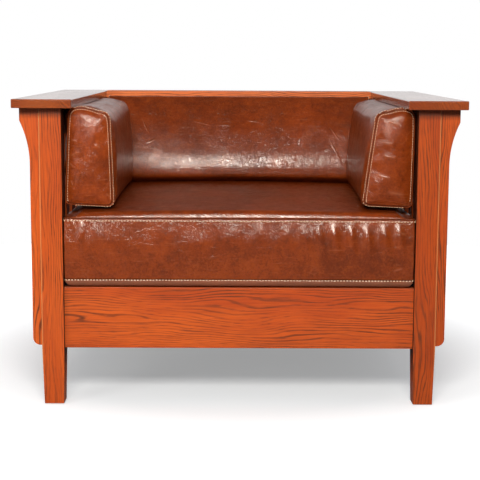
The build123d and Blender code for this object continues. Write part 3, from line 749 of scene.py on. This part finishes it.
# %% Seam helpers
def seam_path(piece, point, normal):
    """The closed line in which a plane cuts a cushion, as points in order round its normal."""
    mesh = bmesh.new()
    mesh.from_mesh(piece.data)
    everything = [*mesh.verts, *mesh.edges, *mesh.faces]
    cut = bmesh.ops.bisect_plane(
        mesh, geom=everything, dist=1e-7, plane_co=point, plane_no=normal,
        clear_inner=True, clear_outer=True,
    )["geom_cut"]
    edges = [item for item in cut if isinstance(item, bmesh.types.BMEdge)]
    edge, vert = edges[0], edges[0].verts[0]
    points, used = [vert.co.copy()], set()
    while edge is not None:
        used.add(edge)
        vert = edge.other_vert(vert)
        points.append(vert.co.copy())
        edge = next((other for other in vert.link_edges if other not in used), None)
    mesh.free()
    turning = sum((before.cross(after) for before, after in zip(points, points[1:])), Vector())
    return points if turning.dot(Vector(normal)) > 0 else points[::-1]


def even_points(points, spacing):
    """Points at equal steps along a line."""
    lengths = [0.0]
    for before, after in zip(points, points[1:]):
        lengths.append(lengths[-1] + (after - before).length)
    count = max(2, round(lengths[-1] / spacing))
    made, index = [], 0
    for step in range(count):
        goal = lengths[-1] * step / count
        while lengths[index + 1] < goal:
            index += 1
        share = (goal - lengths[index]) / max(lengths[index + 1] - lengths[index], 1e-9)
        made.append(points[index].lerp(points[index + 1], share))
    return made


def press_seam(piece, paths, depth, width, roll_height=0.0):
    """Sinks the seam lines into a cushion, raises a roll beside them, and marks them."""
    points = [point for path in paths for point in even_points(path, 0.002)]
    tree = KDTree(len(points))
    for index, point in enumerate(points):
        tree.insert(point, index)
    tree.balance()
    attribute = piece.data.attributes.new("seam", "FLOAT", "POINT")
    normals = [vert.normal.copy() for vert in piece.data.vertices]
    for index, vert in enumerate(piece.data.vertices):
        distance = tree.find(vert.co)[2]
        if distance > 8 * width:
            continue
        sink = depth * exp(-((distance / width) ** 2))
        roll = roll_height * exp(-(((distance - 2.6 * width) / (1.3 * width)) ** 2))
        vert.co += normals[index] * (roll - sink)
        attribute.data[index].value = exp(-((distance / (1.1 * width)) ** 2))


def paint_gap_shade(piece, where):
    """Marks vertices in a narrow gap as dark, as painted shade."""
    for vert, mark in zip(piece.data.vertices, piece.data.attributes["seam"].data):
        mark.value = max(mark.value, where(vert.co))


def surface_tree(piece):
    """A search tree over a piece's surface."""
    mesh = bmesh.new()
    mesh.from_mesh(piece.data)
    tree = BVHTree.FromBMesh(mesh)
    mesh.free()
    return tree


def sew(name, piece, guide, rows, pitch=0.0075, length=0.0056, width=0.0017):
    """Lays stitches along rows: a path, how far beside it on the unpressed guide, and a rule.

    The rule says where to sew, and None stands for a row that is sewn all along.
    """
    surface = surface_tree(piece)
    mesh, batch = bmesh.new(), bmesh.new()
    batch_size = 20
    for path, beside, wanted in rows:
        points = even_points(path, pitch)
        for index, point in enumerate(points):
            ahead_way = (points[(index + 1) % len(points)] - points[index - 1]).normalized()
            side = guide.find_nearest(point)[1].cross(ahead_way).normalized()
            spot = guide.find_nearest(point + side * beside)[0]
            spot, normal = surface.find_nearest(spot)[:2]
            spot = spot + normal * (width * 0.25)
            side = normal.cross(ahead_way).normalized()
            turn = Matrix((ahead_way, side, normal)).transposed().to_4x4()
            size = Matrix.Diagonal((length / 2, width / 2, width / 2, 1))
            place = Matrix.Translation(spot) @ turn @ size
            if wanted is None or wanted(spot):
                bmesh.ops.create_uvsphere(batch, u_segments=6, v_segments=5, radius=1, matrix=place)
            if index % batch_size == batch_size - 1 or index == len(points) - 1:
                part = bpy.data.meshes.new("stitches")
                batch.to_mesh(part)
                mesh.from_mesh(part)
                bpy.data.meshes.remove(part)
                batch.clear()
    batch.free()
    return place_in_view(name, mesh, thread)


# %% [markdown]
# ## Seat cushion
# The seat cushion fills the chair between the posts. Its top panel rolls over the front edge and
# is sewn to a tall front band. A second seam runs along the foot of the band, and below it the
# leather tucks under. The top is crowned, and the sides pull in a little between the corners.

# %% Seat cushion's form
seat_top_seam, seat_foot_seam = 0.4546, 0.307
seat_top, seat_sole = 0.4745, 0.2879
seat_front, seat_rear, seat_side = -0.428, 0.392, 0.4203
crown_height, crown_middle, crown_end, crown_side = 0.484, -0.018, 0.412, 0.4201
roll_start = -0.4062
# The roll over the front edge: heights above the seam, and how far back the leather is there.
front_roll = (
    (0.0, 0.0), (0.0015, 0.0002), (0.01, 0.0028), (0.0135, 0.0046),
    (0.0165, 0.0077), (0.019, 0.0131), (0.021, 0.022),
)


def seat_crown(x, y):
    """Height of the crowned top, as the CAD gives it to the cushions that stand on it."""
    fall = 0.008 * (x / crown_side) ** 2
    return crown_height - fall - 0.01 * ((y - crown_middle) / crown_end) ** 2


def roll_depth(height):
    """How far back the roll over the front edge is at a height above the seam."""
    for (low, near), (high, far) in zip(front_roll, front_roll[1:]):
        if height <= high:
            return near + (far - near) * (height - low) / (high - low)
    return front_roll[-1][1]


def shape_seat(mesh):
    """Draws the blank into the cushion's form."""
    for vert in mesh.verts:
        x, y, z = vert.co
        outward = 1 if x > 0 else -1
        if z > seat_top_seam and y < roll_start:
            vert.co.y = y = seat_front + roll_depth(z - seat_top_seam)
        above = clamped((z - seat_top_seam) / (seat_top - seat_top_seam))
        below = clamped((seat_foot_seam - z) / (seat_foot_seam - seat_sole))
        lift = ease(z, seat_top_seam, seat_top)
        vert.co.z += lift * (seat_crown(x, y) - 0.0002 - seat_top)
        end = 0.027 * (1 - sqrt(1 - above**2)) + 0.022 * (1 - sqrt(1 - below**2))
        share = max(abs(x) - 0.375, 0.0) / 0.0453
        vert.co.x -= outward * end * share
        vert.co.z -= 0.009 * above * ease(abs(vert.co.x), 0.375, 0.4)
        middle = 1 - (x / 0.42) ** 2
        if y < -0.3:
            down = clamped((seat_top_seam - z) / (seat_top_seam - seat_foot_seam))
            band = sin(pi * down**0.9) * ease(-y, 0.4, 0.425)
            vert.co.y -= 0.005 * band
            vert.co.y += 0.0015 * middle * ease(-y, 0.36, 0.42)
        if y > 0.3:
            vert.co.y -= 0.004 * middle * ease(y, 0.33, 0.39)
        waist = 0.003 * (1 - (y / 0.43) ** 2) * ease(abs(x), 0.36, 0.415)
        vert.co.x -= outward * waist


def seat_hold(co):
    """Seams, sole and front roll stay; the front band fills out slowly away from its seams."""
    from_seam = min(abs(co.z - seat_top_seam), abs(co.z - seat_foot_seam))
    if from_seam < 0.003 or co.z < 0.29 or (co.z > seat_top_seam and co.y < -0.4):
        return 1.0
    if co.y < -0.36:
        return 1 - 0.45 * ease(from_seam, 0.003, 0.065)
    return 0.0


seat_mesh = panel_blank(
    (-seat_side, seat_front, seat_sole), (seat_side, seat_rear, seat_top),
    ((0.004, 0.004), (0.022, 0.022), (0.018, 0.02)), 0.0105, seat_hold,
    ((), (), (seat_foot_seam, seat_top_seam)),
)
shape_seat(seat_mesh)
print("Seat blank faces:", len(seat_mesh.faces))

# %% [markdown]
# The creases near the seat's corners are drawn into its leather as ridges with a painted
# highlight along them; each has two ends and a width.

# %% Fill the seat cushion
seat_creases = (
    ((0.378, 0.449), (0.402, 0.44), 0.0035), ((0.402, 0.44), (0.417, 0.452), 0.003),
    ((0.372, 0.43), (0.398, 0.418), 0.006), ((0.368, 0.33), (0.392, 0.338), 0.006),
    ((-0.398, 0.452), (-0.388, 0.424), 0.006), ((-0.38, 0.45), (-0.375, 0.43), 0.005),
)
# Below 0.3055 m the seat's leather gets a painted reflection of the floor.
seat_leather = leather_finish("leather_seat", 1, 0.8, seat_creases, 0.9, 0.84, 0.3055)
seat_piece = filled_cover("seat_cover", seat_mesh, seat_leather, 0.005)

# %% [markdown]
# The front band puckers under its top seam, mostly to the right of the middle. Each pucker has a
# place along the band, a width, a reach below its fullest point and a depth.

# %% Puckers on the seat's front band
pucker_folds = (
    (0.15, 0.012, 0.035, 0.0034), (0.186, 0.009, 0.04, 0.0046), (0.222, 0.01, 0.045, 0.0062),
    (0.262, 0.009, 0.05, 0.006), (0.3, 0.01, 0.055, 0.0066), (0.342, 0.01, 0.05, 0.0062),
    (0.378, 0.008, 0.04, 0.0056), (0.11, 0.013, 0.03, 0.0026), (0.045, 0.016, 0.03, 0.0026),
    (-0.01, 0.018, 0.028, 0.002), (-0.374, 0.008, 0.04, 0.0052), (-0.33, 0.012, 0.03, 0.0022),
)
pucker_peak = 0.038


def pucker_band(piece):
    """Soft upright puckers that swell out under the top seam and lean a little outward."""
    for vert in piece.data.vertices:
        x, y, z = vert.co
        if y > -0.4 or not seat_foot_seam < z < seat_top_seam:
            continue
        down = seat_top_seam - z
        pull = 0.0
        for place, width, reach, depth in pucker_folds:
            lean = place + 0.12 * down * (1 if place > 0 else -1)
            swell = exp(-((max(down - pucker_peak, 0) / reach) ** 2))
            swell = ease(down, 0.002, pucker_peak) * swell
            pull += depth * exp(-(((x - lean) / width) ** 2)) * swell
        vert.co.y -= pull


pucker_band(seat_piece)
print("Puckers:", len(pucker_folds))

# %% [markdown]
# The seams are pressed in and sewn last. The front band is a little wider than the gap between the
# posts, because it swells past their faces.

# %% Sew the seat cushion
post_face, seat_lowest = -0.4328, 0.2875
width_before_posts, width_at_ends, width_between = 0.4225, 0.4203, 0.433


def fit_seat(piece):
    """Keeps the cushion under its crown, above the deck and off the posts."""
    for vert in piece.data.vertices:
        vert.co.z = min(vert.co.z, seat_crown(vert.co.x, vert.co.y) - 0.0001)
        vert.co.z = max(vert.co.z, seat_lowest)
        limit = width_at_ends if abs(vert.co.y) > 0.375 else width_between
        if vert.co.y < post_face:
            limit = width_before_posts
            vert.co.x *= 1.006 if abs(vert.co.x) > 0.405 else 1
        vert.co.x = clamped(vert.co.x, -limit, limit)


def seat_painted_gap_shade(co):
    """Painted shade in the corners of the seat's top, under the arm cushions."""
    return ease(abs(co.x), 0.384, 0.398) * ease(co.z, 0.459, 0.4625)


seat_seams = (seat_top_seam, seat_foot_seam)
seat_paths = [seam_path(seat_piece, (0, 0, seam), (0, 0, 1)) for seam in seat_seams]
seat_guide = surface_tree(seat_piece)
press_seam(seat_piece, seat_paths, 0.0026, 0.0015)
fit_seat(seat_piece)
paint_gap_shade(seat_piece, seat_painted_gap_shade)
rows = [(seat_paths[0], -0.0058, None), (seat_paths[1], -0.0005, None)]
seat_threads = sew("seat_threads", seat_piece, seat_guide, rows, width=0.0021)
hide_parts("seat_cushion", "seat_core")
for piece in (seat_piece, seat_threads):
    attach(piece, "seat_cushion")
print("Seat thread faces:", len(seat_threads.data.polygons))

# %% [markdown]
# ## Arm cushions
# Each arm cushion is a long box that stands between the seat and the arm board. Its front end is a
# flat panel, sewn round its edge with two rows of cream thread. The two are not twins: stuffing and
# use have turned each one a little, so the corners of the front and of the far end are given for
# each side, and the blank is drawn onto them. The crowned top swells up beside the arm board.

# %% Arm cushions' form
arm_front, arm_rear = -0.4, 0.1955
arm_width, arm_height = 0.118, 0.232
arm_seams = (arm_front + 0.002, arm_rear - 0.0022)
# Corners (x, z) of the section at the front, at a turn just behind it and at the far end, each
# from its inner foot round.
arm_turn = 0.045
arm_corners = {
    "left": (
        ((-0.3005, 0.479), (-0.419, 0.485), (-0.4075, 0.71), (-0.3095, 0.706)),
        ((-0.3, 0.4795), (-0.4195, 0.4808), (-0.4195, 0.711), (-0.309, 0.707)),
        ((-0.304, 0.4808), (-0.419, 0.4808), (-0.418, 0.7125), (-0.319, 0.7125)),
    ),
    "right": (
        ((0.294, 0.485), (0.415, 0.479), (0.417, 0.708), (0.325, 0.709)),
        ((0.2935, 0.4808), (0.4195, 0.4795), (0.4195, 0.709), (0.325, 0.709)),
        ((0.311, 0.4808), (0.419, 0.4808), (0.418, 0.7125), (0.331, 0.7125)),
    ),
}


def arm_corner(side, index, along):
    """Where one long edge of the cushion is, at a share of its length."""
    near, middle, far = (Vector(station[index]) for station in arm_corners[side])
    if along < arm_turn:
        return near.lerp(middle, ease(along, 0, arm_turn))
    return middle.lerp(far, (along - arm_turn) / (1 - arm_turn))


def arm_hold(co):
    """The front seam, the far end and the sole stay."""
    in_front_seam = arm_front + 0.0008 < co.y < arm_front + 0.0042
    return float(in_front_seam or co.y > arm_rear - 0.006 or co.z < 0.003)


def arm_blank(side):
    """Draws a blank onto the corners of one side's cushion."""
    mesh = panel_blank(
        (0, arm_front, 0), (arm_width, arm_rear, arm_height),
        ((0.018, 0.012), (0.006, 0.008), (0.013, 0.02)), 0.008, arm_hold,
    )
    for vert in mesh.verts:
        u, v = vert.co.x / arm_width, vert.co.z / arm_height
        along = (vert.co.y - arm_front) / (arm_rear - arm_front)
        corners = [arm_corner(side, index, along) for index in range(4)]
        spot = corners[0].lerp(corners[1], u).lerp(corners[3].lerp(corners[2], u), v)
        outward = -1 if side == "left" else 1
        swell = sin(pi * clamped(v)) * ease(u, 0.35, 0.0)
        spot.x -= outward * 0.005 * swell * ease(along, 0.0, 0.06)
        crown = sin(pi * clamped(u) ** 1.8) * ease(v, 0.72, 1.0)
        spot.y += (0.0108 - 0.002 * along) * crown
        sunk = clamped(1 - (vert.co.y - arm_front) / 0.006) ** 2
        pillow = (1 - abs(2 * u - 1) ** 3) * (1 - abs(2 * v - 1) ** 5)
        vert.co = (spot.x, vert.co.y - 0.0125 * sunk * max(pillow, 0), spot.y)
    if side == "left":
        bmesh.ops.reverse_faces(mesh, faces=mesh.faces)
    return mesh


# %% [markdown]
# The two arm cushions are filled, sewn and kept clear of the arm boards in one loop.

# %% Fill and sew the arm cushions
arm_creases = {
    "left": (
        ((-0.402, 0.64), (-0.385, 0.636), 0.006), ((-0.405, 0.6), (-0.38, 0.612), 0.008),
        ((-0.408, 0.586), (-0.396, 0.574), 0.006), ((-0.345, 0.628), (-0.33, 0.622), 0.007),
        ((-0.32, 0.512), (-0.308, 0.504), 0.006), ((-0.404, 0.545), (-0.398, 0.53), 0.005),
    ),
    "right": (
        ((0.336, 0.638), (0.366, 0.634), 0.007), ((0.338, 0.606), (0.372, 0.6), 0.008),
        ((0.345, 0.69), (0.38, 0.676), 0.01), ((0.325, 0.56), (0.36, 0.552), 0.009),
        ((0.35, 0.52), (0.395, 0.512), 0.01),
    ),
}


def fit_arm(piece):
    """Keeps a cushion on the seat, clear of the arm board and between its neighbours."""
    for vert in piece.data.vertices:
        vert.co.z = max(vert.co.z, 0.4785 if vert.co.y < -0.35 else 0.4803)
        beside_board = ease(abs(vert.co.x), 0.3925, 0.381)
        vert.co.z = min(vert.co.z, 0.7155 + 0.0065 * beside_board)
        vert.co.x = clamped(vert.co.x, -0.4198, 0.4198)
        vert.co.y = min(vert.co.y, 0.1962)


def arm_painted_gap_shade(co):
    """Painted shade on the outer side, in the gap beside the post."""
    return ease(abs(co.x), 0.408, 0.416) * ease(co.y, -0.397, -0.39)


# The left cushion's leather is made lighter and the right one's darker: painted light from the left.
for number, (side, dye_and_side_light) in enumerate((("left", 1.12), ("right", 0.94))):
    finish = leather_finish(f"leather_{side}_arm", 3 + number, 0.9, arm_creases[side], dye_and_side_light)
    piece = filled_cover(f"{side}_arm_cover", arm_blank(side), finish, 0.004)
    paths = [seam_path(piece, (0, seam, 0), (0, 1, 0)) for seam in arm_seams]
    guide = surface_tree(piece)
    press_seam(piece, paths, 0.0022, 0.0015, 0.0009)
    fit_arm(piece)
    paint_gap_shade(piece, arm_painted_gap_shade)
    rows = [
        (paths[0], 0.0036, lambda spot: abs(spot.x) < 0.398),
        (paths[0], -0.005, lambda spot: spot.z > 0.494),
        (paths[1], 0.004, None),
    ]
    threads = sew(f"{side}_arm_threads", piece, guide, rows, 0.0062, 0.0046, 0.0014)
    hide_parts(f"{side}_arm_cushion", f"{side}_arm_core")
    for part in (piece, threads):
        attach(part, f"{side}_arm_cushion")
    print(side, "arm thread faces:", len(threads.data.polygons))

# %% [markdown]
# ## Back cushion
# The back cushion leans against the cap. Its face lies back and ends below in a full roll, which
# catches the softbox as a broad bright band. The profile is a list of depths at heights, joined by
# a smooth curve, and every slice of the blank takes its front from it.

# %% Back cushion's form
back_low, back_high, back_side = 0.4819, 0.7225, 0.3885
back_front, back_rear = 0.2, 0.3612
back_profile = (
    0.2422, 0.2122, 0.2069, 0.2089, 0.2119, 0.2158, 0.2206, 0.2263, 0.2329,
    0.2407, 0.2497, 0.2599, 0.271, 0.2827, 0.2947, 0.3071, 0.3195,
)


def on_profile(share):
    """Depth of the front at a share of the height, on a smooth curve through the profile."""
    position = clamped(share) * (len(back_profile) - 1)
    index = min(int(position), len(back_profile) - 2)
    part = position - index
    ends = (back_profile[0], *back_profile, back_profile[-1])
    a, b, c, d = ends[index : index + 4]
    cubic = 2 * a - 5 * b + 4 * c - d + part * (3 * (b - c) + d - a)
    return b + part * (c - a + part * cubic) / 2


def back_hold(co):
    """The ends, the rear and the sole stay; only the upper face fills out, a little."""
    if abs(co.x) > 0.384 or co.y > 0.355 or co.z < 0.486:
        return 1.0
    return 1 - 0.4 * ease(co.z, 0.57, 0.66)


def shape_back(mesh):
    """Draws the blank's front onto the profile, and its sole onto the seat's crown."""
    for vert in mesh.verts:
        x, y, z = vert.co
        share = (z - back_low) / (back_high - back_low)
        bulge = 0.004 * ease(abs(x), 0.3, 0.18) * (1 - clamped(share))
        front = on_profile(share) - bulge
        depth = (y - back_front) / (back_rear - back_front)
        vert.co.y = front + (back_rear - front) * depth
        drop = back_low - seat_crown(x, vert.co.y)
        vert.co.z -= drop * ease(z, 0.53, 0.4825)


back_mesh = panel_blank(
    (-back_side, back_front, back_low), (back_side, back_rear, back_high),
    ((0.01, 0.01), (0.02, 0.006), (0.018, 0.01)), 0.0095, back_hold,
)
shape_back(back_mesh)
print("Back blank faces:", len(back_mesh.faces))

# %% [markdown]
# The long slanting creases at the right end of the band are the strongest on the chair.

# %% Fill and sew the back cushion
back_creases = (
    ((0.258, 0.61), (0.307, 0.52), 0.0045), ((0.3, 0.545), (0.309, 0.516), 0.004),
    ((-0.285, 0.665), (-0.262, 0.62), 0.0035), ((-0.27, 0.59), (-0.24, 0.602), 0.0035),
    ((-0.14, 0.655), (-0.08, 0.641), 0.003), ((-0.06, 0.642), (-0.02, 0.64), 0.003),
    ((0.02, 0.655), (0.062, 0.65), 0.003), ((0.262, 0.64), (0.292, 0.6), 0.0035),
)


def fit_back(piece):
    """Keeps the cushion on the seat's crown, and between the arm cushions and the rear slats."""
    for vert in piece.data.vertices:
        vert.co.z = max(vert.co.z, seat_crown(vert.co.x, vert.co.y) + 0.0001)
        foremost = 0.1965 if abs(vert.co.x) > 0.285 else 0.19
        vert.co.y = clamped(vert.co.y, foremost, 0.3616)
        vert.co.x = clamped(vert.co.x, -0.39, 0.39)


back_leather = leather_finish("leather_back", 7, 1.8, back_creases, 1.12, 1.0)
back_piece = filled_cover("back_cover", back_mesh, back_leather, 0.004)
back_paths = [seam_path(back_piece, (side * 0.3855, 0, 0), (1, 0, 0)) for side in (-1, 1)]
back_guide = surface_tree(back_piece)
press_seam(back_piece, back_paths, 0.0018, 0.0018, 0.001)
fit_back(back_piece)
rows = [(back_paths[0], 0.004, None), (back_paths[1], -0.004, None)]
back_threads = sew("back_threads", back_piece, back_guide, rows)
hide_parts("back_cushion", "back_core")
for piece in (back_piece, back_threads):
    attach(piece, "back_cushion")
print("Back thread faces:", len(back_threads.data.polygons))

# %% [markdown]
# ## Size
# Both boxes, the CAD model's and the dressed chair's, are printed side by side.

# %% Write the sizes
dressed_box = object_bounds()
boxes = {"cad": cad_box, "visual": dressed_box}
for name, box in boxes.items():
    print(name, [round(value, 4) for corner in box for value in corner])
